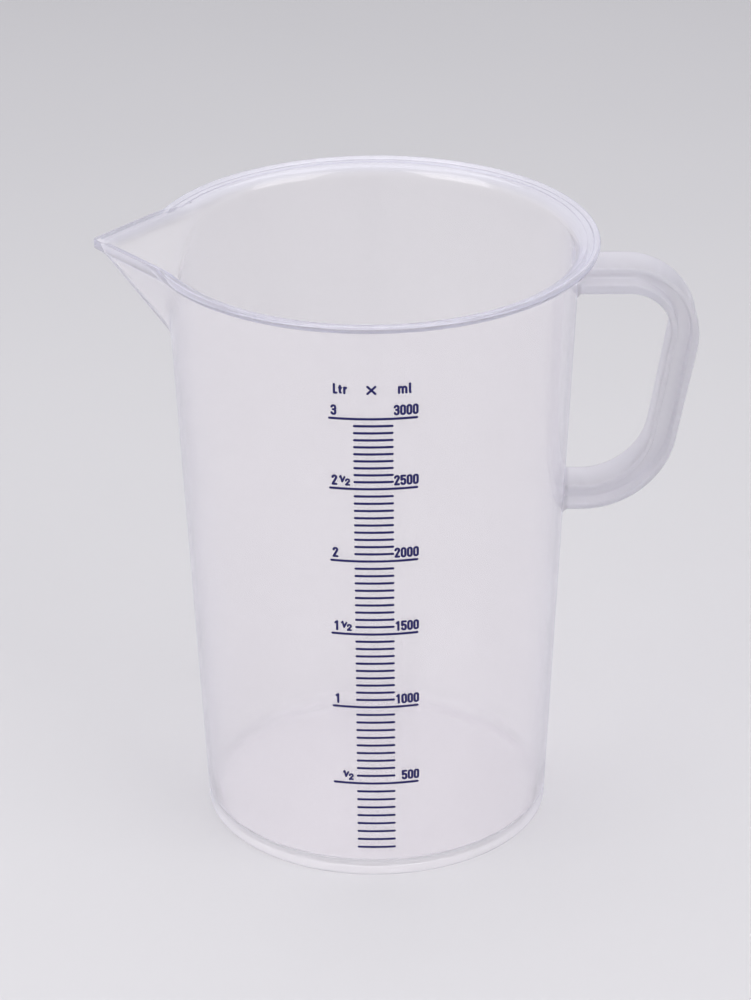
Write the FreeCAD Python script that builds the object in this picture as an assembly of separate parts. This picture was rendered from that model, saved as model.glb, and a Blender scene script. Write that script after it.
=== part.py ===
import FreeCAD, Part
import math
import os

# Graduated 3 litre measuring jug: a tapered moulded vessel with a rolled rim,
# a V shaped pouring spout, an I-section D handle and a printed scale.
# Millimetres, Z up. The origin is on the vessel's axis at table level.
# The handle points along +X, the spout along -X, and the scale faces -Y.

# Vessel
TOTAL_HEIGHT = 240.0
BASE_RADIUS = 67.5
TAPER = 0.0462
WALL = 1.9
FOOT_HEIGHT = 3.1
FOOT_WIDTH = 2.6
FOOT_EDGE = 0.7
FLOOR = 2.7
FLOOR_CORNER = 1.6

# Rim
RIM_RADIUS = 86.0
RIM_RISE = 6.5
RIM_BEND = 5.3
RIM_SLOPE = 9.0
BEAD_RADIUS = 1.4

# Spout
SPOUT_ROOT = 200.3
SPOUT_HALF_ANGLE = 50.0
KEEL_SLOPE = 0.732
SPOUT_WALL = 2.6
LIP_REACH = 105.4
LIP_HEIGHT = 3.5
LIP_FLARE = 3.0

# Handle, in the XZ plane. Each outline is (corner x, corner z, corner radius, heel radius).
HANDLE_WIDTH = 17.3
HANDLE_WEB = 4.1
HEEL_X = 80.0
HEEL_Z = 165.5
FINGER_OPENING = (97.0, 203.2, 16.0, 26.4)
INNER_FLANGE = (96.3, 203.8, 19.2, 28.5)
WEB_OUTLINE = (96.0, 202.7, 24.8, 34.2)
OUTER_FLANGE = (95.5, 201.6, 28.2, 36.6)

# Printed scale: millilitres and the height of each line above the table.
SCALE_HEIGHTS = {
    100: 13.2,
    500: 42.5,
    1000: 76.9,
    1500: 109.0,
    2000: 140.5,
    2500: 171.0,
    3000: 199.9,
}
STEP = 50
LONG_LINE = 32.9
SHORT_LINE = 14.8
LINE_STROKE = 0.95
INK = 0.08

# Printed numerals
DIGIT_HEIGHT = 4.3
DIGIT_WIDTH = 2.18
DIGIT_STROKE = 0.88
DIGIT_PITCH = 2.33
DIGIT_RISE = 1.3
HALF_COLUMN = -12.75
HALF_WIDTH = 4.1
HALF_STROKE = 0.74
HEADING_RISE = 10.0

# Sizes worked out from the ones above
WALL_TOP = TOTAL_HEIGHT - RIM_RISE
FLOOR_TOP = FOOT_HEIGHT + FLOOR
CORNER_TOP = FLOOR_TOP + FLOOR_CORNER
LIP_BOTTOM = TOTAL_HEIGHT - LIP_HEIGHT
LIP_ROOT = LIP_BOTTOM - LIP_FLARE
HALF_SIN = math.sin(math.radians(SPOUT_HALF_ANGLE))
HALF_COS = math.cos(math.radians(SPOUT_HALF_ANGLE))


def outer_radius(z):
    return BASE_RADIUS + TAPER * z


def inner_radius(z):
    return outer_radius(z) - WALL


def point(x, z):
    return FreeCAD.Vector(x, 0, z)


def line(a, b):
    return Part.LineSegment(point(*a), point(*b)).toShape()


def arc(a, middle, b):
    return Part.Arc(point(*a), point(*middle), point(*b)).toShape()


def on_circle(centre, radius, degrees):
    angle = math.radians(degrees)
    x = centre[0] + radius * math.cos(angle)
    z = centre[1] + radius * math.sin(angle)
    return (x, z)


def arc_about(centre, radius, first, last):
    start = on_circle(centre, radius, first)
    middle = on_circle(centre, radius, (first + last) / 2)
    end = on_circle(centre, radius, last)
    return arc(start, middle, end)


def face_of(edges):
    wire = Part.Wire(Part.__sortEdges__(edges))
    return Part.Face(wire)


def turned(edges):
    """A section in the XZ plane turned once round the vessel's axis."""
    up = FreeCAD.Vector(0, 0, 1)
    return face_of(edges).revolve(FreeCAD.Vector(0, 0, 0), up, 360)


def meet_circle(start, direction, centre, radius):
    """The first point along a line where it enters a circle."""
    dx = start[0] - centre[0]
    dz = start[1] - centre[1]
    half = dx * direction[0] + dz * direction[1]
    rest = dx * dx + dz * dz - radius * radius
    step = -half - math.sqrt(half * half - rest)
    return (start[0] + step * direction[0], start[1] + step * direction[1])


# Corner points of the rim's section
BEND_CENTRE = (inner_radius(WALL_TOP) + RIM_BEND, WALL_TOP)
BEND_OUTSIDE = RIM_BEND - WALL
BEAD_CENTRE = (RIM_RADIUS - BEAD_RADIUS, TOTAL_HEIGHT - BEAD_RADIUS)
SLOPE = (math.cos(math.radians(RIM_SLOPE)), math.sin(math.radians(RIM_SLOPE)))
LAND_START = on_circle(BEND_CENTRE, RIM_BEND, 90 + RIM_SLOPE)
UNDER_START = on_circle(BEND_CENTRE, BEND_OUTSIDE, 90 + RIM_SLOPE)
LAND_END = meet_circle(LAND_START, SLOPE, BEAD_CENTRE, BEAD_RADIUS)
UNDER_END = meet_circle(UNDER_START, SLOPE, BEAD_CENTRE, BEAD_RADIUS)


def bead_angle(end):
    dx = end[0] - BEAD_CENTRE[0]
    dz = end[1] - BEAD_CENTRE[1]
    return math.degrees(math.atan2(dz, dx))


def bead_edge():
    """The rolled edge, from the top land over the crest to the underside."""
    first = bead_angle(LAND_END)
    last = bead_angle(UNDER_END)
    if last > first:
        last = last - 360
    return arc_about(BEAD_CENTRE, BEAD_RADIUS, first, last)


# Vessel pieces


def foot_ring():
    outer = outer_radius(FOOT_EDGE)
    bottom_outer = BASE_RADIUS - FOOT_EDGE
    inner = BASE_RADIUS - FOOT_WIDTH
    top_outer = outer_radius(FOOT_HEIGHT)
    turn = FOOT_EDGE * math.sin(math.radians(45))
    middle = (bottom_outer + turn, FOOT_EDGE - turn)
    edges = [
        line((inner, 0), (bottom_outer, 0)),
        arc((bottom_outer, 0), middle, (outer, FOOT_EDGE)),
        line((outer, FOOT_EDGE), (top_outer, FOOT_HEIGHT)),
        line((top_outer, FOOT_HEIGHT), (inner, FOOT_HEIGHT)),
        line((inner, FOOT_HEIGHT), (inner, 0)),
    ]
    return turned(edges)


def base_floor():
    """The floor disc that closes the vessel, out to the vessel's outside."""
    edges = [
        line((0, FOOT_HEIGHT), (outer_radius(FOOT_HEIGHT), FOOT_HEIGHT)),
        line((outer_radius(FOOT_HEIGHT), FOOT_HEIGHT), (outer_radius(FLOOR_TOP), FLOOR_TOP)),
        line((outer_radius(FLOOR_TOP), FLOOR_TOP), (0, FLOOR_TOP)),
        line((0, FLOOR_TOP), (0, FOOT_HEIGHT)),
    ]
    return turned(edges)


def vessel_wall():
    """The tapered wall, thickened round its foot where it turns into the floor."""
    corner_start = (inner_radius(CORNER_TOP) - FLOOR_CORNER, FLOOR_TOP)
    corner_end = (inner_radius(CORNER_TOP), CORNER_TOP)
    bow = FLOOR_CORNER * 0.36
    corner_middle = (corner_end[0] - bow, FLOOR_TOP + bow)
    edges = [
        line(corner_start, (outer_radius(FLOOR_TOP), FLOOR_TOP)),
        line((outer_radius(FLOOR_TOP), FLOOR_TOP), (outer_radius(WALL_TOP), WALL_TOP)),
        line((outer_radius(WALL_TOP), WALL_TOP), (inner_radius(WALL_TOP), WALL_TOP)),
        line((inner_radius(WALL_TOP), WALL_TOP), corner_end),
        arc(corner_end, corner_middle, corner_start),
    ]
    return turned(edges).cut(spout_inside())


def rim_flare():
    """The wall's top turned outward into a gently rising land."""
    edges = [
        line((inner_radius(WALL_TOP), WALL_TOP), (outer_radius(WALL_TOP), WALL_TOP)),
        arc_about(BEND_CENTRE, BEND_OUTSIDE, 180, 90 + RIM_SLOPE),
        line(UNDER_START, UNDER_END),
        line(UNDER_END, LAND_END),
        line(LAND_END, LAND_START),
        arc_about(BEND_CENTRE, RIM_BEND, 90 + RIM_SLOPE, 180),
    ]
    return turned(edges).cut(spout_inside())


def rim_bead():
    edges = [bead_edge(), line(UNDER_END, LAND_END)]
    return turned(edges).cut(spout_inside())


def vessel_envelope():
    """Everything inside the vessel's outer surface, with the rim filled flat across."""
    crest = (BEAD_CENTRE[0], TOTAL_HEIGHT)
    last = bead_angle(UNDER_END)
    if last > 90:
        last = last - 360
    edges = [
        line((0, 0), (outer_radius(0), 0)),
        line((outer_radius(0), 0), (outer_radius(WALL_TOP), WALL_TOP)),
        arc_about(BEND_CENTRE, BEND_OUTSIDE, 180, 90 + RIM_SLOPE),
        line(UNDER_START, UNDER_END),
        arc_about(BEAD_CENTRE, BEAD_RADIUS, last, 90),
        line(crest, (0, TOTAL_HEIGHT)),
        line((0, TOTAL_HEIGHT), (0, 0)),
    ]
    return turned(edges)


# Spout pieces


def keel_reach(z):
    """How far the spout's outer keel stands from the axis."""
    return outer_radius(SPOUT_ROOT) + KEEL_SLOPE * (z - SPOUT_ROOT)


def facet_distance(z):
    """Plan distance from the axis to the spout's outer facets."""
    return keel_reach(z) * HALF_SIN


def kite(z, distance):
    """A level section of the V: the axis, the two facet feet and the nose."""
    foot_x = -distance * HALF_SIN
    foot_y = distance * HALF_COS
    corners = [
        FreeCAD.Vector(0, 0, z),
        FreeCAD.Vector(foot_x, foot_y, z),
        FreeCAD.Vector(-distance / HALF_SIN, 0, z),
        FreeCAD.Vector(foot_x, -foot_y, z),
    ]
    corners.append(corners[0])
    return Part.makePolygon(corners)


def kite_block(z0, distance0, z1, distance1):
    return Part.makeLoft([kite(z0, distance0), kite(z1, distance1)], True, True)


def spout_inside():
    """The space the V's inner facets enclose, carried up past the rim."""
    z0 = SPOUT_ROOT - 25
    z1 = TOTAL_HEIGHT + 10
    return kite_block(
        z0, facet_distance(z0) - SPOUT_WALL, z1, facet_distance(z1) - SPOUT_WALL
    )


def pour_spout():
    """The two sloping facets that grow out of the wall and meet at the keel."""
    z0 = SPOUT_ROOT - 15
    outside = kite_block(z0, facet_distance(z0), LIP_ROOT, facet_distance(LIP_ROOT))
    return outside.cut(spout_inside()).cut(vessel_envelope())


def spout_lip():
    """The thickened band along the spout's top edge."""
    reach = LIP_REACH * HALF_SIN
    flare = kite_block(LIP_ROOT, facet_distance(LIP_ROOT), LIP_BOTTOM, reach)
    band = kite_block(LIP_BOTTOM, reach, TOTAL_HEIGHT, reach)
    whole = flare.fuse(band).removeSplitter()
    return whole.cut(spout_inside()).cut(vessel_envelope())


# Handle pieces


def handle_outline(sizes, start_x):
    """Top bar, rounded corner, leaning grip, heel and bottom bar as one face."""
    corner = (sizes[0], sizes[1])
    corner_radius = sizes[2]
    heel = (HEEL_X, HEEL_Z)
    heel_radius = sizes[3]
    dx = corner[0] - heel[0]
    dz = corner[1] - heel[1]
    spread = heel_radius - corner_radius
    lean = math.degrees(math.atan2(dz, dx) - math.acos(spread / math.hypot(dx, dz)))
    top = corner[1] + corner_radius
    bottom = HEEL_Z - heel_radius
    edges = [
        line((start_x, bottom), (start_x, top)),
        line((start_x, top), (corner[0], top)),
        arc_about(corner, corner_radius, 90, lean),
        line(on_circle(corner, corner_radius, lean), on_circle(heel, heel_radius, lean)),
        arc_about(heel, heel_radius, lean, -90),
        line((HEEL_X, bottom), (start_x, bottom)),
    ]
    return face_of(edges)


def handle_band(outside, inside, width):
    """The band between two handle outlines, spread across Y and cut at the vessel."""
    section = handle_outline(outside, BASE_RADIUS - 10)
    section = section.cut(handle_outline(inside, BASE_RADIUS - 20))
    section.translate(FreeCAD.Vector(0, -width / 2, 0))
    solid = section.extrude(FreeCAD.Vector(0, width, 0))
    return solid.cut(vessel_envelope())


def handle_outer_flange():
    return handle_band(OUTER_FLANGE, WEB_OUTLINE, HANDLE_WIDTH)


def handle_web():
    return handle_band(WEB_OUTLINE, INNER_FLANGE, HANDLE_WEB)


def handle_inner_flange():
    return handle_band(INNER_FLANGE, FINGER_OPENING, HANDLE_WIDTH)


# Printed scale. Every stroke is drawn flat, pushed through the front of the wall
# and kept only where it lies in a thin skin on the wall's outside.


def ink_skin(z0, z1):
    """The part of the ink's skin that covers the heights from z0 to z1."""
    edges = [
        line((outer_radius(z0), z0), (outer_radius(z0) + INK, z0)),
        line((outer_radius(z0) + INK, z0), (outer_radius(z1) + INK, z1)),
        line((outer_radius(z1) + INK, z1), (outer_radius(z1), z1)),
        line((outer_radius(z1), z1), (outer_radius(z0), z0)),
    ]
    return turned(edges)


def push(face):
    """A flat shape carried from inside the vessel out through its front."""
    face.translate(FreeCAD.Vector(0, -BASE_RADIUS / 2, 0))
    return face.extrude(FreeCAD.Vector(0, -BASE_RADIUS, 0))


def straight_stroke(a, b, width):
    """A straight stroke with round ends."""
    angle = math.degrees(math.atan2(b[1] - a[1], b[0] - a[0]))
    half = width / 2
    left = angle + 90
    right = angle - 90
    edges = [
        line(on_circle(a, half, left), on_circle(b, half, left)),
        arc_about(b, half, left, right),
        line(on_circle(b, half, right), on_circle(a, half, right)),
        arc_about(a, half, right, right - 180),
    ]
    return push(face_of(edges))


def curved_stroke(centre, radius, first, last, width):
    """An arc shaped stroke with round ends."""
    half = width / 2
    start = on_circle(centre, radius, first)
    end = on_circle(centre, radius, last)
    turn = 180 if last > first else -180
    edges = [
        arc_about(centre, radius + half, first, last),
        arc_about(end, half, last, last + turn),
        arc_about(centre, radius - half, last, first),
        arc_about(start, half, first - turn, first),
    ]
    return push(face_of(edges))


def inked(strokes, z0, z1):
    """Strokes joined into one mark and kept within the ink's skin."""
    mark = strokes[0]
    if len(strokes) > 1:
        mark = strokes[0].multiFuse(strokes[1:])
    return mark.common(ink_skin(z0, z1)).removeSplitter()


def across(u, z):
    """The X of a point that lies a distance u round the wall from the scale's centre."""
    radius = outer_radius(z)
    return radius * math.sin(u / radius)


def scale_line(z, length):
    half = across((length - LINE_STROKE) / 2, z)
    stroke = straight_stroke((-half, z), (half, z), LINE_STROKE)
    return inked([stroke], z - LINE_STROKE, z + LINE_STROKE)


class Pen:
    """Draws strokes in a box whose lower left corner is given, at a given size."""

    def __init__(self, x, z, width, height, stroke):
        self.half = (width - stroke) / 2
        self.high = height - stroke
        self.x = x + width / 2
        self.z = z + stroke / 2
        self.stroke = stroke
        self.strokes = []

    def spot(self, u, v):
        """u runs from -1 to 1 across the box and v from 0 to 1 up it."""
        return (self.x + u * self.half, self.z + v * self.high)

    def straight(self, u0, v0, u1, v1):
        a = self.spot(u0, v0)
        b = self.spot(u1, v1)
        self.strokes.append(straight_stroke(a, b, self.stroke))

    def bow(self, u, v, radius, first, last):
        """An arc whose radius is a share of the box's half width."""
        centre = self.spot(u, v)
        size = radius * self.half
        self.strokes.append(curved_stroke(centre, size, first, last, self.stroke))

    def lift(self, amount=1.0):
        """The half width as a share of the height, to place round ends."""
        return amount * self.half / self.high


def draw_zero(pen):
    end = pen.lift()
    pen.bow(0, 1 - end, 1, 0, 180)
    pen.bow(0, end, 1, -180, 0)
    pen.straight(-1, end, -1, 1 - end)
    pen.straight(1, end, 1, 1 - end)


def draw_one(pen):
    pen.straight(0.35, 0, 0.35, 1)
    pen.straight(0.35, 1, -0.6, 0.84)


def draw_two(pen):
    end = pen.lift()
    pen.bow(0, 1 - end, 1, -25, 180)
    angle = math.radians(-25)
    pen.straight(math.cos(angle), 1 - end + end * math.sin(angle), -1, 0)
    pen.straight(-1, 0, 1, 0)


def draw_three(pen):
    end = pen.lift()
    bowl = pen.lift(0.8)
    pen.bow(0, 1 - end, 1, 0, 170)
    pen.straight(1, 1 - end, 1, 0.54 + bowl)
    pen.bow(0.2, 0.54 + bowl, 0.8, -90, 0)
    pen.straight(-0.2, 0.54, 0.2, 0.54)
    pen.bow(0.2, 0.54 - bowl, 0.8, 0, 90)
    pen.straight(1, end, 1, 0.54 - bowl)
    pen.bow(0, end, 1, -170, 0)


def draw_five(pen):
    end = pen.lift()
    pen.straight(-1, 1, 1, 1)
    pen.straight(-1, 0.55, -1, 1)
    pen.bow(0, 0.62 - end, 1, 0, 150)
    pen.straight(1, end, 1, 0.62 - end)
    pen.bow(0, end, 1, -170, 0)


DIGITS = {
    "0": draw_zero,
    "1": draw_one,
    "2": draw_two,
    "3": draw_three,
    "5": draw_five,
}


def digit(character, x, z, width, height, stroke):
    pen = Pen(x, z, width, height, stroke)
    DIGITS[character](pen)
    return inked(pen.strokes, z - 1, z + height + 1)


def number(text, right, z):
    """Digits set side by side with their right edge a distance round the wall."""
    digits = []
    for place, character in enumerate(reversed(text)):
        centre = right - DIGIT_WIDTH / 2 - place * DIGIT_PITCH
        x = across(centre, z) - DIGIT_WIDTH / 2
        digits.append(digit(character, x, z, DIGIT_WIDTH, DIGIT_HEIGHT, DIGIT_STROKE))
    return digits


def half_sign(z):
    """A leaning one that runs into a slanted stroke, with a small two beside it."""
    x = across(HALF_COLUMN, z)
    one = Pen(x, z + 1.2, 2.4, DIGIT_HEIGHT - 1.2, HALF_STROKE)
    one.straight(-0.72, 1, -0.05, 0)
    one.straight(-0.72, 1, -1, 0.8)
    one.straight(-0.05, 0, 1, 0.82)
    two = Pen(x + HALF_WIDTH - 1.95, z, 1.95, DIGIT_HEIGHT * 0.7, HALF_STROKE)
    draw_two(two)
    return inked(one.strokes + two.strokes, z - 1, z + DIGIT_HEIGHT + 1)


def millilitre_number(amount):
    z = SCALE_HEIGHTS[amount] + DIGIT_RISE
    return Part.makeCompound(number(str(amount), LONG_LINE / 2 + 0.2, z))


def litre_number(amount):
    z = SCALE_HEIGHTS[amount] + DIGIT_RISE
    marks = []
    if amount >= 1000:
        right = -LONG_LINE / 2 + 0.9 + DIGIT_WIDTH
        marks = marks + number(str(amount // 1000), right, z)
    if amount % 1000:
        marks.append(half_sign(z))
    return Part.makeCompound(marks)


def short_lines(first, last):
    """The short lines at every step strictly between two numbered heights."""
    low = SCALE_HEIGHTS[first]
    high = SCALE_HEIGHTS[last]
    count = (last - first) // STEP
    begin = 0 if first == 100 else 1
    lines = []
    for place in range(begin, count):
        z = low + (high - low) * place / count
        lines.append(scale_line(z, SHORT_LINE))
    return Part.makeCompound(lines)


def litre_heading():
    """The unit mark over the litre numerals: a capital l, a t and an r."""
    z = SCALE_HEIGHTS[3000] + HEADING_RISE
    x = across(-14.6, z)
    capital = Pen(x, z, 1.75, 4.25, DIGIT_STROKE)
    capital.straight(-1, 0, -1, 1)
    capital.straight(-1, 0, 1, 0)
    cross = Pen(x + 1.9, z, 1.6, 3.7, DIGIT_STROKE)
    cross.straight(-0.3, 0.15, -0.3, 1)
    cross.bow(0.45, 0.15, 0.75, 180, 270)
    cross.straight(-1, 0.74, 0.9, 0.74)
    last = Pen(x + 3.75, z, 1.5, 3.1, DIGIT_STROKE)
    last.straight(-1, 0, -1, 1)
    last.straight(-1, 0.66, 0.1, 0.97)
    last.straight(0.1, 0.97, 1, 0.95)
    marks = [capital, cross, last]
    return Part.makeCompound([inked(mark.strokes, z - 1, z + 5) for mark in marks])


def cross_heading():
    z = SCALE_HEIGHTS[3000] + HEADING_RISE
    pen = Pen(-2.4, z - 0.1, 3.7, 3.7, DIGIT_STROKE)
    pen.straight(-1, 0, 1, 1)
    pen.straight(-1, 1, 1, 0)
    return inked(pen.strokes, z - 1, z + 5)


def millilitre_heading():
    """The unit mark over the millilitre numerals."""
    z = SCALE_HEIGHTS[3000] + HEADING_RISE
    x = across(9.05, z)
    letter = Pen(x, z, 3.5, 3.2, DIGIT_STROKE)
    end = letter.lift(0.5)
    letter.straight(-1, 0, -1, 1)
    letter.straight(0, 0, 0, 1 - end)
    letter.straight(1, 0, 1, 1 - end)
    letter.bow(-0.5, 1 - end, 0.5, 0, 180)
    letter.bow(0.5, 1 - end, 0.5, 0, 180)
    stem = Pen(x + 3.85, z, 1.3, 4.35, DIGIT_STROKE)
    stem.straight(-0.5, 0.08, -0.5, 1)
    stem.straight(-0.5, 0.08, 0.3, 0)
    marks = [letter, stem]
    return Part.makeCompound([inked(mark.strokes, z - 1, z + 5) for mark in marks])


def save(shape, name):
    shape.exportStep("parts/" + name + ".step")


def save_moulding():
    save(foot_ring(), "foot_ring")
    save(base_floor(), "base_floor")
    save(vessel_wall(), "vessel_wall")
    save(rim_flare(), "rim_flare")
    save(rim_bead(), "rim_bead")
    save(pour_spout(), "pour_spout")
    save(spout_lip(), "spout_lip")
    save(handle_outer_flange(), "handle_outer_flange")
    save(handle_web(), "handle_web")
    save(handle_inner_flange(), "handle_inner_flange")


def save_scale():
    amounts = sorted(SCALE_HEIGHTS)
    for first, last in zip(amounts, amounts[1:]):
        save(short_lines(first, last), "short_lines_below_%d" % last)
        save(scale_line(SCALE_HEIGHTS[last], LONG_LINE), "long_line_%d" % last)
        save(millilitre_number(last), "millilitre_number_%d" % last)
        save(litre_number(last), "litre_number_%d" % last)
    save(litre_heading(), "litre_heading")
    save(cross_heading(), "cross_heading")
    save(millilitre_heading(), "millilitre_heading")


os.makedirs("parts", exist_ok=True)
save_moulding()
save_scale()
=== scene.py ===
import bpy
import math
from mathutils import Matrix, Vector


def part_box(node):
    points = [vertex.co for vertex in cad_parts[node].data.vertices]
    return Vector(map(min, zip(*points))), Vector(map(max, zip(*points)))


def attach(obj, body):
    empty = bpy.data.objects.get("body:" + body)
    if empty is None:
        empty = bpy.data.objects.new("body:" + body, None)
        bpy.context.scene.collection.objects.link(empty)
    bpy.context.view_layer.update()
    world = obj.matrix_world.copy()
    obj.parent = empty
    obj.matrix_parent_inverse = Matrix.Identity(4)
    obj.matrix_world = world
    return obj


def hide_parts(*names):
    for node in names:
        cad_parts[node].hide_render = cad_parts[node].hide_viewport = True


# A graduated measuring jug in translucent polypropylene on a pale studio table.
# The CAD model gives the outer sizes, and its printed marks are shown as they
# are. The moulding is made again as a smooth skin with its small roundings, with
# the thicknesses and roundings that the model's boxes don't tell named below.

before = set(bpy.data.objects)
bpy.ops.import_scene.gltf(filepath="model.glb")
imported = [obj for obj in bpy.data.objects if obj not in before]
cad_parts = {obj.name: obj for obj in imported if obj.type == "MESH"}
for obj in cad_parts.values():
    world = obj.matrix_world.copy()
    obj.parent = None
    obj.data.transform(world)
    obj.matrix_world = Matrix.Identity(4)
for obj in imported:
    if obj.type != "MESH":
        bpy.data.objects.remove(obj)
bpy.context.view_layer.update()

VESSEL_NODES = [
    "foot_ring",
    "base_floor",
    "vessel_wall",
    "rim_flare",
    "rim_bead",
    "pour_spout",
    "spout_lip",
]
HANDLE_NODES = ["handle_outer_flange", "handle_web", "handle_inner_flange"]

# Corners of the CAD model's boxes, in metres
FOOT_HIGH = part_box("foot_ring")[1]
PAN_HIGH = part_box("base_floor")[1]
WALL_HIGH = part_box("vessel_wall")[1]
BEAD_LOW, BEAD_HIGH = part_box("rim_bead")
SPOUT_LOW, SPOUT_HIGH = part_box("pour_spout")
LIP_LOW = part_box("spout_lip")[0]
OUTER_LOW, OUTER_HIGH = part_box("handle_outer_flange")
WEB_LOW, WEB_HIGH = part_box("handle_web")
INNER_LOW, INNER_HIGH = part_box("handle_inner_flange")

MM = 0.001

# Vessel
TOP = BEAD_HIGH.z
RIM_RADIUS = BEAD_HIGH.y
WALL_TOP = WALL_HIGH.z
TAPER = (WALL_HIGH.y - PAN_HIGH.y) / (WALL_HIGH.z - PAN_HIGH.z)
BASE_RADIUS = PAN_HIGH.y - TAPER * PAN_HIGH.z
WALL = 1.9 * MM
FOOT_HEIGHT = FOOT_HIGH.z
FOOT_WIDTH = 2.6 * MM
FOOT_EDGE = 0.7 * MM
FLOOR_CORNER = 1.6 * MM
FLOOR_TOP = PAN_HIGH.z
CORNER_TOP = FLOOR_TOP + FLOOR_CORNER

# Rim section
BEAD_RADIUS = (BEAD_HIGH.z - BEAD_LOW.z) / 2
RIM_BEND = 5.3 * MM
BEND_OUTSIDE = RIM_BEND - WALL
RIM_SLOPE = math.radians(9)
BEND_CENTRE = BASE_RADIUS + TAPER * WALL_TOP - WALL + RIM_BEND
LAND_RADIUS = BEND_CENTRE - RIM_BEND * math.sin(RIM_SLOPE)
LAND_Z = WALL_TOP + RIM_BEND * math.cos(RIM_SLOPE)

# Spout
SPOUT_ROOT = SPOUT_LOW.z
HALF_ANGLE = math.radians(50)
FACET_TURN = math.pi / 2 - HALF_ANGLE
SPOUT_WALL = 2.6 * MM
LIP_REACH = -LIP_LOW.x
LIP_ROOT = SPOUT_HIGH.z
LIP_BOTTOM = TOP - 3.5 * MM
LIP_EDGE = 0.45 * MM
NOSE_EASE = math.radians(0.35)

# Small roundings of the skin, and the distances over which its faces blend
UNDER_FILLET = 0.8 * MM
RING_EDGE = 0.4 * MM
RING_CUT = 0.12 * MM
LAND_EDGE = 0.05 * MM
OUTSIDE_BLEND = 1.6 * MM
INSIDE_BLEND = 2.4 * MM
FLARE_BLEND = 1.0 * MM
EDGE_BLEND = 1.2 * MM
BEAD_BLEND = 0.35 * MM

# The wall's points are close together from this far below the spout's root up
DENSE_DEPTH = 8 * MM

# Degrees from the nose over which the lip turns into the plain round rim
PLAIN_FROM, PLAIN_TO = 18.5, 27
CORNER_FROM, CORNER_TO = 15, 21

# Degrees from one column of points to the next, below each turn from the nose
COLUMN_STEPS = [(1, 0.125), (4, 0.25), (46, 0.5), (180, 134 / 90)]
LAST_TURN = 179.6

# Shares of the bead's radius that limit where its arc starts and ends
ARC_START_LIMIT = -0.5
ARC_END_LIMIT = 0.93

# Handle in the XZ plane. Each outline turns round a corner at the top, given by
# its x and its radius, and round the heel at the bottom.
HEEL = (80 * MM, 165.5 * MM)
OUTER_TURN = (95.5 * MM, 28.2 * MM)
WEB_TURN = (96.0 * MM, 24.8 * MM)
INNER_TURN = (96.3 * MM, 19.2 * MM)
OPENING = (97.0 * MM, 203.2 * MM, 16.0 * MM, 26.4 * MM)
HANDLE_WIDTH = OUTER_HIGH.y - OUTER_LOW.y
HANDLE_WEB = WEB_HIGH.y - WEB_LOW.y
FLANGE_EDGE = 0.75 * MM
WEB_ROOT = 0.9 * MM
ROOT_FILLET = 2.2 * MM
ROOT_GROWTH = 0.8 * ROOT_FILLET
ROOT_STRETCH = 3.0 * MM


def outer_radius(z):
    return BASE_RADIUS + TAPER * z


def inner_radius(z):
    return outer_radius(z) - WALL


def smooth_max(a, b, soft):
    """The larger of two lengths, eased over a small difference."""
    ease = max(soft - abs(a - b), 0.0) / soft
    return max(a, b) + ease * ease * soft / 4


def smooth_step(value, low, high):
    share = min(max((value - low) / (high - low), 0.0), 1.0)
    return share * share * (3 - 2 * share)


def mix(a, b, share):
    return a + (b - a) * share


# Spout facets, in plan


def keel_reach(z):
    slope = (-SPOUT_LOW.x - outer_radius(SPOUT_ROOT)) / (LIP_ROOT - SPOUT_ROOT)
    return outer_radius(SPOUT_ROOT) + slope * (z - SPOUT_ROOT)


def facet_distance(z):
    return keel_reach(z) * math.sin(HALF_ANGLE)


def shell_distance(z):
    """Plan distance from the axis to the spout's outside, with its flared lip."""
    if z <= LIP_ROOT:
        return facet_distance(z)
    reach = LIP_REACH * math.sin(HALF_ANGLE)
    share = min((z - LIP_ROOT) / (LIP_BOTTOM - LIP_ROOT), 1.0)
    return mix(facet_distance(LIP_ROOT), reach, share)


def facet_radius(distance, turn):
    """The radius at which a facet stands in a direction turned away from the nose."""
    away = math.sqrt(turn * turn + NOSE_EASE * NOSE_EASE) - FACET_TURN
    if away < 0:
        return distance / math.cos(away)
    return distance * math.cos(min(away, math.pi / 2))


def outside(z, turn):
    facet = facet_radius(shell_distance(z), turn)
    return smooth_max(outer_radius(z), facet, OUTSIDE_BLEND)


def inner_facet(z, turn):
    return facet_radius(facet_distance(z) - SPOUT_WALL, turn)


def inside(z, turn):
    return smooth_max(inner_radius(z), inner_facet(z, turn), INSIDE_BLEND)


# One column of the vessel's skin: (radius, height) from the middle of the
# underside, out, up the outside, over the rim, down the inside to the middle.


def spread(low, high, count):
    """Evenly spaced values after low, ending with high."""
    return [mix(low, high, (step + 1) / count) for step in range(count)]


def underside_points():
    """From the middle of the recess out to the ring and round its two edges."""
    ring_inside = BASE_RADIUS - FOOT_WIDTH
    points = [(r, FOOT_HEIGHT) for r in spread(0, ring_inside - UNDER_FILLET, 6)]
    for step in range(1, 5):
        angle = math.radians(90 - 22.5 * step)
        r = ring_inside - UNDER_FILLET * (1 - math.cos(angle))
        points.append((r, FOOT_HEIGHT - UNDER_FILLET * (1 - math.sin(angle))))
    points.append((ring_inside, RING_EDGE))
    points.append((ring_inside + RING_CUT, RING_CUT))
    points.append((ring_inside + RING_EDGE, 0))
    outer = outer_radius(FOOT_EDGE)
    for step in range(7):
        angle = math.radians(-90 + 15 * step)
        r = outer - FOOT_EDGE + FOOT_EDGE * math.cos(angle)
        points.append((r, FOOT_EDGE + FOOT_EDGE * math.sin(angle)))
    return points


def outer_wall_points(turn):
    heights = spread(FOOT_EDGE, SPOUT_ROOT - DENSE_DEPTH, 14)
    heights += spread(heights[-1], WALL_TOP, 30)
    return [(outside(z, turn), z) for z in heights]


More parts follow.
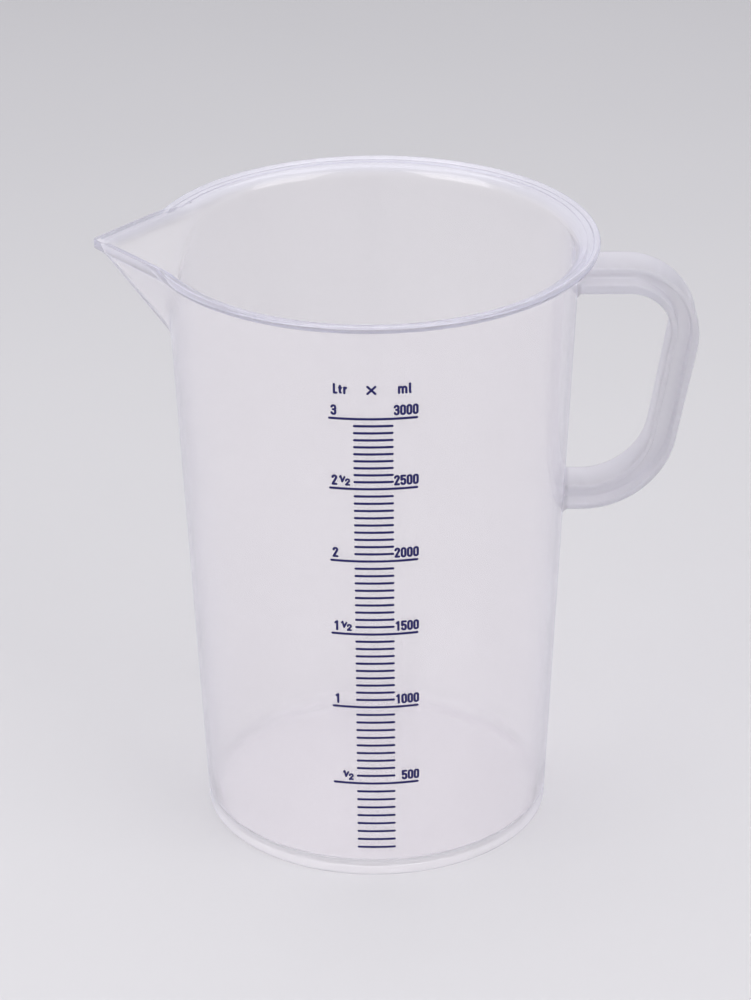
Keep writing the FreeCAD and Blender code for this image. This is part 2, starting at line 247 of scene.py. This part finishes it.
def rim_outside(z):
    """The radius of the flare's convex side."""
    up = min((z - WALL_TOP) / BEND_OUTSIDE, 1.0)
    return BEND_CENTRE - BEND_OUTSIDE * math.sqrt(1 - up * up)


def rim_inside(z):
    """The radius of the flare's concave side."""
    up = min((z - WALL_TOP) / RIM_BEND, math.cos(RIM_SLOPE))
    return BEND_CENTRE - RIM_BEND * math.sqrt(1 - up * up)


def lip_radius(turn):
    return facet_radius(LIP_REACH * math.sin(HALF_ANGLE), turn)


def rim_reach(turn):
    """The rim's outermost radius, on the lip or on the round bead."""
    return smooth_max(RIM_RADIUS, lip_radius(turn), FLARE_BLEND)


def plain_share(turn):
    """0 along the spout's lip and 1 where the rim is plainly round."""
    return smooth_step(math.degrees(turn), PLAIN_FROM, PLAIN_TO)


def rim_corner(turn):
    """Radius of the rim's outer rounding: small on the lip, a full bead elsewhere."""
    return mix(LIP_EDGE, BEAD_RADIUS, smooth_step(math.degrees(turn), CORNER_FROM, CORNER_TO))


def flare_points(turn):
    """Up the convex side of the flare."""
    under = WALL_TOP + BEND_OUTSIDE * math.cos(RIM_SLOPE)
    points = []
    for z in spread(WALL_TOP, under, 9):
        facet = facet_radius(shell_distance(z), turn)
        points.append((smooth_max(rim_outside(z), facet, FLARE_BLEND), z))
    return points


def bead_points(turn, begin):
    """From the flare out to the bead or lip and round it to its crest."""
    reach = rim_reach(turn)
    corner = rim_corner(turn)
    ratio = (lip_radius(turn) - reach + corner) / corner
    start = -math.acos(min(max(ratio, ARC_START_LIMIT), 1.0))
    end = (
        reach - corner + corner * math.cos(start),
        TOP - corner + corner * math.sin(start),
    )
    points = []
    for step in range(1, 4):
        share = step / 4
        points.append((mix(begin[0], end[0], share), mix(begin[1], end[1], share)))
    for step in range(13):
        angle = mix(start, math.pi / 2, step / 12)
        r = reach - corner + corner * math.cos(angle)
        points.append((r, TOP - corner + corner * math.sin(angle)))
    return points


def land_points(turn):
    """From the bead's crest down the land, round its edge and down the flare's inside."""
    plain = plain_share(turn)
    edge_round = mix(LIP_EDGE, LAND_EDGE, plain)
    edge_z = mix(TOP, LAND_Z, plain)
    edge_r = smooth_max(LAND_RADIUS, inner_facet(edge_z, turn), EDGE_BLEND)
    crest_r = rim_reach(turn) - rim_corner(turn)
    points = []
    for step in range(1, 13):
        r = mix(crest_r, edge_r + edge_round, step / 12)
        along = min((crest_r - r) / BEAD_RADIUS, ARC_END_LIMIT)
        bead_z = TOP - BEAD_RADIUS * (1 - math.sqrt(1 - along * along))
        land = LAND_Z + (r - LAND_RADIUS) * math.tan(RIM_SLOPE)
        points.append((r, mix(TOP, smooth_max(bead_z, land, BEAD_BLEND), plain)))
    for step in range(1, 5):
        angle = math.radians(22.5 * step)
        z = edge_z - edge_round * (1 - math.cos(angle))
        r = smooth_max(rim_inside(z), inner_facet(z, turn), EDGE_BLEND)
        points.append((r + edge_round * (1 - math.sin(angle)), z))
    for z in spread(points[-1][1], WALL_TOP, 10):
        points.append((smooth_max(rim_inside(z), inner_facet(z, turn), INSIDE_BLEND), z))
    return points


def rim_points(turn):
    """Over the rim at one direction, from the wall's outer top to its inner top."""
    flare = flare_points(turn)
    return flare + bead_points(turn, flare[-1]) + land_points(turn)


def inner_wall_points(turn):
    heights = spread(WALL_TOP, SPOUT_ROOT - DENSE_DEPTH, 30)
    heights += spread(heights[-1], CORNER_TOP, 14)
    points = [(inside(z, turn), z) for z in heights]
    centre = inner_radius(CORNER_TOP) - FLOOR_CORNER
    for step in range(1, 7):
        angle = math.radians(-15 * step)
        r = centre + FLOOR_CORNER * math.cos(angle)
        points.append((r, CORNER_TOP + FLOOR_CORNER * math.sin(angle)))
    return points + [(r, FLOOR_TOP) for r in spread(centre, 0, 7)]


def column(turn):
    return (
        underside_points()
        + outer_wall_points(turn)
        + rim_points(turn)
        + inner_wall_points(turn)
    )


def column_turns():
    """Directions round the axis, measured from the nose and close together near it."""
    half = []
    turn = 0.0
    while turn < LAST_TURN:
        half.append(turn)
        turn += next(step for limit, step in COLUMN_STEPS if turn < limit)
    return half + [180.0] + [-t for t in reversed(half[1:])]


def mesh_object(name, vertices, faces):
    mesh = bpy.data.meshes.new(name)
    mesh.from_pydata(vertices, [], faces)
    mesh.validate()
    thing = bpy.data.objects.new(name, mesh)
    bpy.context.scene.collection.objects.link(thing)
    return thing


def vessel_vertices(turns):
    """One column of points for each direction, then the two middles."""
    vertices = []
    for degrees in turns:
        turn = math.radians(degrees)
        for r, z in column(abs(turn))[:-1]:
            vertices.append((-r * math.cos(turn), -r * math.sin(turn), z))
    return vertices + [(0, 0, FOOT_HEIGHT), (0, 0, FLOOR_TOP)]


def vessel_faces(count, rows):
    """Quads between neighbouring columns and a fan round each middle."""
    bottom = count * rows
    top = bottom + 1
    faces = []
    fans = []
    for at in range(count):
        here = at * rows
        after = (at + 1) % count * rows
        for row in range(rows - 1):
            faces.append((here + row, after + row, after + row + 1, here + row + 1))
        fans.append((bottom, after, here))
        fans.append((top, here + rows - 1, after + rows - 1))
    return faces + fans


def make_vessel():
    """The whole vessel with foot, rim and spout as one closed skin."""
    turns = column_turns()
    vertices = vessel_vertices(turns)
    rows = (len(vertices) - 2) // len(turns)
    return mesh_object("vessel_skin", vertices, vessel_faces(len(turns), rows))


# Handle


def flange_outline(turn, low, high):
    """Corner x, corner z, corner radius and heel radius of one outline."""
    corner_x, radius = turn
    return (corner_x, high.z - radius, radius, HEEL[1] - low.z)


def handle_outlines():
    """The four outlines from the outside of the D to its finger opening."""
    return [
        flange_outline(OUTER_TURN, OUTER_LOW, OUTER_HIGH),
        flange_outline(WEB_TURN, WEB_LOW, WEB_HIGH),
        flange_outline(INNER_TURN, INNER_LOW, INNER_HIGH),
        OPENING,
    ]


def on_circle(centre, radius, angle):
    return (centre[0] + radius * math.cos(angle), centre[1] + radius * math.sin(angle))


def top_stations(start, corner_x, height):
    """Along the top arm, close together where it leaves the wall."""
    points = []
    for step in range(9):
        points.append((mix(start, start + ROOT_STRETCH, step / 8), height))
    return points + [(x, height) for x in spread(start + ROOT_STRETCH, corner_x, 5)]


def grip_stations(corner, radius, heel_radius, lean):
    """Round the corner, straight down the grip and round the heel."""
    points = []
    for step in range(1, 31):
        points.append(on_circle(corner, radius, mix(math.pi / 2, lean, step / 30)))
    first = points[-1]
    last = on_circle(HEEL, heel_radius, lean)
    for step in range(1, 9):
        share = step / 8
        points.append((mix(first[0], last[0], share), mix(first[1], last[1], share)))
    for step in range(1, 27):
        points.append(on_circle(HEEL, heel_radius, mix(lean, -math.pi / 2, step / 26)))
    return points


def bottom_stations(end, height):
    """Along the bottom arm back to the wall."""
    points = [(x, height) for x in spread(HEEL[0], end + ROOT_STRETCH, 2)]
    for step in range(1, 9):
        points.append((mix(end + ROOT_STRETCH, end, step / 8), height))
    return points


def outline_stations(sizes):
    """Points along one outline, from the wall at the top to the wall at the bottom."""
    corner = (sizes[0], sizes[1])
    radius = sizes[2]
    heel_radius = sizes[3]
    dx = corner[0] - HEEL[0]
    dz = corner[1] - HEEL[1]
    lean = math.atan2(dz, dx) - math.acos((heel_radius - radius) / math.hypot(dx, dz))
    top = corner[1] + radius
    bottom = HEEL[1] - heel_radius
    start = outer_radius(top) - WALL / 2
    end = outer_radius(bottom) - WALL / 2
    return (
        top_stations(start, corner[0], top)
        + grip_stations(corner, radius, heel_radius, lean)
        + bottom_stations(end, bottom)
    )


def rounded_corners(corners, radii, count):
    """A closed outline with a short arc at each corner, as (point, outward normal)."""
    result = []
    total = len(corners)
    for at in range(total):
        here = Vector(corners[at])
        before = (Vector(corners[at - 1]) - here).normalized()
        after = (Vector(corners[(at + 1) % total]) - here).normalized()
        radius = radii[at]
        first = here + before * radius
        last = here + after * radius
        centre = here + (before + after) * radius
        convex = before.cross(after) > 0
        for step in range(count + 1):
            angle = mix(0, math.pi / 2, step / count)
            spoke = (first - centre) * math.cos(angle) + (last - centre) * math.sin(angle)
            normal = spoke.normalized()
            result.append((centre + spoke, normal if convex else -normal))
    return result


def handle_section(q3, q2, q1):
    """The I section: q runs from the outside of the D inwards, y across it."""
    wide = HANDLE_WIDTH / 2
    thin = HANDLE_WEB / 2
    corners = [
        (0, wide),
        (q3, wide),
        (q3, thin),
        (q2, thin),
        (q2, wide),
        (q1, wide),
        (q1, -wide),
        (q2, -wide),
        (q2, -thin),
        (q3, -thin),
        (q3, -wide),
        (0, -wide),
    ]
    half = [FLANGE_EDGE, FLANGE_EDGE, WEB_ROOT, WEB_ROOT, FLANGE_EDGE, FLANGE_EDGE]
    return rounded_corners(corners, half + half[::-1], 4)


def root_growth(point):
    """How far the section spreads near the wall, which makes the root's fillet."""
    gap = math.hypot(point.x, point.y) - outer_radius(point.z)
    gap = min(max(gap, 0.0), ROOT_FILLET)
    growth = ROOT_FILLET - math.sqrt(ROOT_FILLET * ROOT_FILLET - (ROOT_FILLET - gap) ** 2)
    return min(growth, ROOT_GROWTH)


def handle_ring(stops):
    """The section at one station, laid across the four outlines' points there."""
    q = [0.0]
    for before, here in zip(stops, stops[1:]):
        q.append(q[-1] + (here - before).length)
    ring = []
    for place, normal in handle_section(q[1], q[2], q[3]):
        band = 0 if place.x < q[1] else 1 if place.x < q[2] else 2
        share = (place.x - q[band]) / (q[band + 1] - q[band])
        inward = (stops[band + 1] - stops[band]).normalized()
        point = stops[band].lerp(stops[band + 1], share) + Vector((0, place.y, 0))
        point += (inward * normal.x + Vector((0, normal.y, 0))) * root_growth(point)
        ring.append(tuple(point))
    return ring


def tube_faces(rings, size):
    """Quads between neighbouring rings and one face over each end."""
    faces = []
    for ring in range(rings - 1):
        for at in range(size):
            a = ring * size + at
            b = ring * size + (at + 1) % size
            faces.append((a, a + size, b + size, b))
    faces.append(tuple(range(size)))
    faces.append(tuple(reversed(range((rings - 1) * size, rings * size))))
    return faces


def make_handle():
    """The I section carried along the four outlines, its ends spread at the wall."""
    lines = [outline_stations(sizes) for sizes in handle_outlines()]
    rings = [handle_ring([Vector((x, 0, z)) for x, z in stops]) for stops in zip(*lines)]
    vertices = [vertex for ring in rings for vertex in ring]
    faces = tube_faces(len(rings), len(rings[0]))
    return mesh_object("handle_skin", vertices, faces)


# Degrees; edges sharper than this stay crisp
VESSEL_CREASE = 38
HANDLE_CREASE = 50


def smooth_skin(thing, crease):
    """Smooth shading that keeps edges sharper than a crease angle crisp."""
    mesh = thing.data
    mesh.polygons.foreach_set("use_smooth", [True] * len(mesh.polygons))
    mesh.set_sharp_from_angle(angle=math.radians(crease))


# Materials. Colours are linear red, green and blue.

PLASTIC_IOR = 1.49
SHEEN_ROUGHNESS = 0.35
GRAIN_DEPTH = 0.1 * MM

WALL_COLOUR = (0.935, 0.922, 0.928)
RIM_COLOUR = (0.85, 0.845, 0.90)
WALL_DEPTH_COLOUR = (0.62, 0.64, 0.85)
WALL_SHADOW = (0.89, 0.883, 0.893)
WALL_SHEEN_TINT = (0.82, 0.82, 1.0)
WALL_CLEAR = 0.88
FOOT_CLEAR = 0.45
RIM_LESS_CLEAR = 0.08

HANDLE_DARK = (0.75, 0.742, 0.765)
HANDLE_LIGHT = (0.78, 0.772, 0.795)
HANDLE_DEPTH_COLOUR = (0.80, 0.80, 0.84)
HANDLE_SHADOW = (0.80, 0.80, 0.82)
HANDLE_SHEEN_TINT = (0.90, 0.90, 1.0)
HANDLE_CLEAR = 0.76

INK_DARK = (0.008, 0.008, 0.075)
INK_LIGHT = (0.017, 0.016, 0.115)
TABLE_DARK = (0.60, 0.597, 0.605)
TABLE_LIGHT = (0.63, 0.626, 0.634)


def new_material(name):
    material = bpy.data.materials.new(name)
    material.use_nodes = True
    tree = material.node_tree
    tree.nodes.clear()
    output = tree.nodes.new("ShaderNodeOutputMaterial")
    return material, tree, output


def noise(tree, scale, detail):
    place = tree.nodes.new("ShaderNodeTexCoord")
    texture = tree.nodes.new("ShaderNodeTexNoise")
    texture.inputs["Scale"].default_value = scale
    texture.inputs["Detail"].default_value = detail
    tree.links.new(place.outputs["Object"], texture.inputs["Vector"])
    return texture


def remap(tree, source, low, high, start=0.3, end=0.7, smooth=False):
    ramp = tree.nodes.new("ShaderNodeMapRange")
    ramp.interpolation_type = "SMOOTHSTEP" if smooth else "LINEAR"
    ramp.inputs["From Min"].default_value = start
    ramp.inputs["From Max"].default_value = end
    ramp.inputs["To Min"].default_value = low
    ramp.inputs["To Max"].default_value = high
    tree.links.new(source, ramp.inputs["Value"])
    return ramp.outputs["Result"]


def math_node(tree, operation, a, b):
    node = tree.nodes.new("ShaderNodeMath")
    node.operation = operation
    for socket, value in zip(node.inputs, (a, b)):
        if isinstance(value, float):
            socket.default_value = value
        else:
            tree.links.new(value, socket)
    return node.outputs[0]


def blend_colours(tree, share, first, second):
    blend = tree.nodes.new("ShaderNodeMix")
    blend.data_type = "RGBA"
    tree.links.new(share, blend.inputs[0])
    for socket, value in zip(blend.inputs[6:8], (first, second)):
        socket.default_value = (*value, 1)
    return blend.outputs[2]


def object_axes(tree):
    place = tree.nodes.new("ShaderNodeTexCoord")
    parts = tree.nodes.new("ShaderNodeSeparateXYZ")
    tree.links.new(place.outputs["Object"], parts.inputs["Vector"])
    return parts.outputs


def radius_from_axis(tree, axes):
    x_squared = math_node(tree, "MULTIPLY", axes["X"], axes["X"])
    y_squared = math_node(tree, "MULTIPLY", axes["Y"], axes["Y"])
    return math_node(tree, "SQRT", math_node(tree, "ADD", x_squared, y_squared), 0.0)


def foot_share(tree):
    """1 on the outside of the thick foot and 0 above the floor and inside it."""
    axes = object_axes(tree)
    radius = radius_from_axis(tree, axes)
    inner_edge = BASE_RADIUS - 1.5 * MM
    at_edge = remap(tree, radius, 0.0, 1.0, inner_edge, BASE_RADIUS - 0.5 * MM, True)
    low = remap(tree, axes["Z"], 1.0, 0.0, FLOOR_TOP, CORNER_TOP + 1 * MM, True)
    return math_node(tree, "MULTIPLY", at_edge, low)


def rim_share(tree):
    """1 in the land and bead of the rim and 0 below them."""
    axes = object_axes(tree)
    return remap(tree, axes["Z"], 0.0, 1.0, WALL_TOP + 1.5 * MM, WALL_TOP + 4 * MM, True)


def satin_skin(tree, plastic, low, high):
    """The mould's satin finish: uneven roughness and a very fine grain."""
    cloud = noise(tree, 18.0, 3.0)
    satin = remap(tree, cloud.outputs["Fac"], low, high)
    tree.links.new(satin, plastic.inputs["Roughness"])
    grain = noise(tree, 900.0, 2.0)
    bump = tree.nodes.new("ShaderNodeBump")
    bump.inputs["Strength"].default_value = 0.02
    bump.inputs["Distance"].default_value = GRAIN_DEPTH
    tree.links.new(grain.outputs["Fac"], bump.inputs["Height"])
    tree.links.new(bump.outputs["Normal"], plastic.inputs["Normal"])


def let_light_through(tree, plastic, output, colour, depth_colour, density):
    """Pale shadows, and a tint that deepens with the thickness of the plastic."""
    path = tree.nodes.new("ShaderNodeLightPath")
    clear = tree.nodes.new("ShaderNodeBsdfTransparent")
    clear.inputs["Color"].default_value = (*colour, 1)
    choose = tree.nodes.new("ShaderNodeMixShader")
    tree.links.new(path.outputs["Is Shadow Ray"], choose.inputs["Fac"])
    tree.links.new(plastic.outputs["BSDF"], choose.inputs[1])
    tree.links.new(clear.outputs["BSDF"], choose.inputs[2])
    tree.links.new(choose.outputs["Shader"], output.inputs["Surface"])
    depth = tree.nodes.new("ShaderNodeVolumeAbsorption")
    depth.inputs["Color"].default_value = (*depth_colour, 1)
    depth.inputs["Density"].default_value = density
    tree.links.new(depth.outputs["Volume"], output.inputs["Volume"])


def clear_plastic(tree, sheen, tint):
    plastic = tree.nodes.new("ShaderNodeBsdfPrincipled")
    plastic.inputs["IOR"].default_value = PLASTIC_IOR
    plastic.inputs["Sheen Weight"].default_value = sheen
    plastic.inputs["Sheen Roughness"].default_value = SHEEN_ROUGHNESS
    plastic.inputs["Sheen Tint"].default_value = (*tint, 1)
    return plastic


def vessel_plastic():
    """Natural polypropylene: clear in the thin wall, milkier round the foot."""
    material, tree, output = new_material("polypropylene_wall")
    plastic = clear_plastic(tree, 0.35, WALL_SHEEN_TINT)
    rim = rim_share(tree)
    foot = foot_share(tree)
    colour = blend_colours(tree, rim, WALL_COLOUR, RIM_COLOUR)
    tree.links.new(colour, plastic.inputs["Base Color"])
    clear_share = remap(tree, foot, WALL_CLEAR, FOOT_CLEAR, 0.0, 1.0)
    rim_milk = math_node(tree, "MULTIPLY", rim, RIM_LESS_CLEAR)
    clear_share = math_node(tree, "SUBTRACT", clear_share, rim_milk)
    tree.links.new(clear_share, plastic.inputs["Transmission Weight"])
    satin_skin(tree, plastic, 0.09, 0.13)
    let_light_through(tree, plastic, output, WALL_SHADOW, WALL_DEPTH_COLOUR, 4)
    return material


def handle_plastic():
    """The same plastic in the handle's thick ribs, where it looks milky."""
    material, tree, output = new_material("polypropylene_handle")
    plastic = clear_plastic(tree, 0.30, HANDLE_SHEEN_TINT)
    cloud = noise(tree, 40.0, 3.0)
    milk = blend_colours(tree, cloud.outputs["Fac"], HANDLE_DARK, HANDLE_LIGHT)
    tree.links.new(milk, plastic.inputs["Base Color"])
    plastic.inputs["Transmission Weight"].default_value = HANDLE_CLEAR
    satin_skin(tree, plastic, 0.28, 0.33)
    let_light_through(tree, plastic, output, HANDLE_SHADOW, HANDLE_DEPTH_COLOUR, 10)
    return material


def opaque_surface(name, gloss, cloud_sizes, colours, roughness):
    """A plain surface with a slight cloudiness in its colour and its roughness."""
    material, tree, output = new_material(name)
    surface = tree.nodes.new("ShaderNodeBsdfPrincipled")
    surface.inputs["Specular IOR Level"].default_value = gloss
    cloud = noise(tree, *cloud_sizes).outputs["Fac"]
    tree.links.new(blend_colours(tree, cloud, *colours), surface.inputs["Base Color"])
    tree.links.new(remap(tree, cloud, *roughness), surface.inputs["Roughness"])
    tree.links.new(surface.outputs["BSDF"], output.inputs["Surface"])
    return material


def printing_ink():
    """Thin dark navy print, a little uneven in strength."""
    colours = (INK_DARK, INK_LIGHT)
    return opaque_surface("printing_ink", 0.22, (260.0, 4.0), colours, (0.36, 0.46))


def table_top():
    """A plain pale matt sheet with a very slight unevenness."""
    colours = (TABLE_DARK, TABLE_LIGHT)
    return opaque_surface("studio_table", 0.1, (3.0, 2.0), colours, (0.48, 0.54))


def set_material(thing, material):
    thing.data.materials.clear()
    thing.data.materials.append(material)


# Studio, in metres, watts and radians. The sensor and the lens are in millimetres.

TABLE_HALF = 6.0
SIDE_BOX = (1.1, 1.5)
TOP_BOX = (1.2, 1.2)
LEFT_PLACE = (-1.05, -0.80, 1.00)
RIGHT_PLACE = (1.05, -0.80, 1.00)
OVERHEAD_PLACE = (0, 0.35, 1.60)
LEFT_POWER = 12.5
RIGHT_POWER = 10
OVERHEAD_POWER = 9
LEFT_COLOUR = (1, 0.985, 1)
PLAIN_LIGHT = (1, 0.99, 1)

WORLD_LOW = (0.68, 0.68, 0.80)
WORLD_HIGH = (0.58, 0.575, 0.60)
WORLD_STRENGTH = 0.9

CAMERA_PLACE = (0.0040, -1.2820, 0.7629)
CAMERA_PAN = 0.0028
CAMERA_DOWN = 0.459
CAMERA_ROLL = -0.0082
SENSOR_WIDTH = 36
FOCAL_LENGTH = 132.1


def make_floor():
    low, high = -TABLE_HALF, TABLE_HALF
    corners = [(low, low, 0), (high, low, 0), (high, high, 0), (low, high, 0)]
    table = mesh_object("studio_table", corners, [(0, 1, 2, 3)])
    set_material(table, table_top())


def area_light(name, place, size, power, colour):
    """A rectangular softbox aimed at the middle of the jug."""
    data = bpy.data.lights.new(name, "AREA")
    data.shape = "RECTANGLE"
    data.size, data.size_y = size
    data.energy = power
    data.color = colour
    lamp = bpy.data.objects.new(name, data)
    lamp.location = place
    lamp.rotation_mode = "QUATERNION"
    aim = Vector((0, 0, TOP / 2)) - Vector(place)
    lamp.rotation_quaternion = aim.to_track_quat("-Z", "Y")
    bpy.context.scene.collection.objects.link(lamp)


def make_lights():
    area_light("left_softbox", LEFT_PLACE, SIDE_BOX, LEFT_POWER, LEFT_COLOUR)
    area_light("right_softbox", RIGHT_PLACE, SIDE_BOX, RIGHT_POWER, PLAIN_LIGHT)
    area_light("top_softbox", OVERHEAD_PLACE, TOP_BOX, OVERHEAD_POWER, PLAIN_LIGHT)


def make_world():
    """A soft studio, pale lavender at its walls and greyer overhead."""
    world = bpy.data.worlds.new("studio")
    world.use_nodes = True
    bpy.context.scene.world = world
    tree = world.node_tree
    sky = tree.nodes["Background"]
    place = tree.nodes.new("ShaderNodeTexCoord")
    parts = tree.nodes.new("ShaderNodeSeparateXYZ")
    tree.links.new(place.outputs["Generated"], parts.inputs["Vector"])
    height = remap(tree, parts.outputs["Z"], 0.0, 1.0, 0.05, 0.60, True)
    colour = blend_colours(tree, height, WORLD_LOW, WORLD_HIGH)
    tree.links.new(colour, sky.inputs["Color"])
    sky.inputs["Strength"].default_value = WORLD_STRENGTH


def make_camera():
    data = bpy.data.cameras.new("camera")
    data.sensor_fit = "AUTO"
    data.sensor_width = SENSOR_WIDTH
    data.lens = FOCAL_LENGTH
    data.clip_start = 0.1
    data.clip_end = 50
    camera = bpy.data.objects.new("camera", data)
    camera.location = CAMERA_PLACE
    pan = Matrix.Rotation(CAMERA_PAN, 4, "Z")
    tilt = Matrix.Rotation(math.pi / 2 - CAMERA_DOWN, 4, "X")
    roll = Matrix.Rotation(CAMERA_ROLL, 4, "Z")
    camera.rotation_mode = "QUATERNION"
    camera.rotation_quaternion = (pan @ tilt @ roll).to_quaternion()
    bpy.context.scene.collection.objects.link(camera)
    bpy.context.scene.camera = camera


def make_jug():
    vessel = make_vessel()
    smooth_skin(vessel, VESSEL_CREASE)
    set_material(vessel, vessel_plastic())
    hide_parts(*VESSEL_NODES)
    handle = make_handle()
    smooth_skin(handle, HANDLE_CREASE)
    set_material(handle, handle_plastic())
    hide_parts(*HANDLE_NODES)
    for piece in (vessel, handle):
        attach(piece, "root")
    ink = printing_ink()
    for name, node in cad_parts.items():
        if name not in VESSEL_NODES + HANDLE_NODES:
            set_material(node, ink)


make_camera()
make_world()
make_lights()
make_floor()
make_jug()

bpy.context.scene.view_settings.view_transform = "Standard"
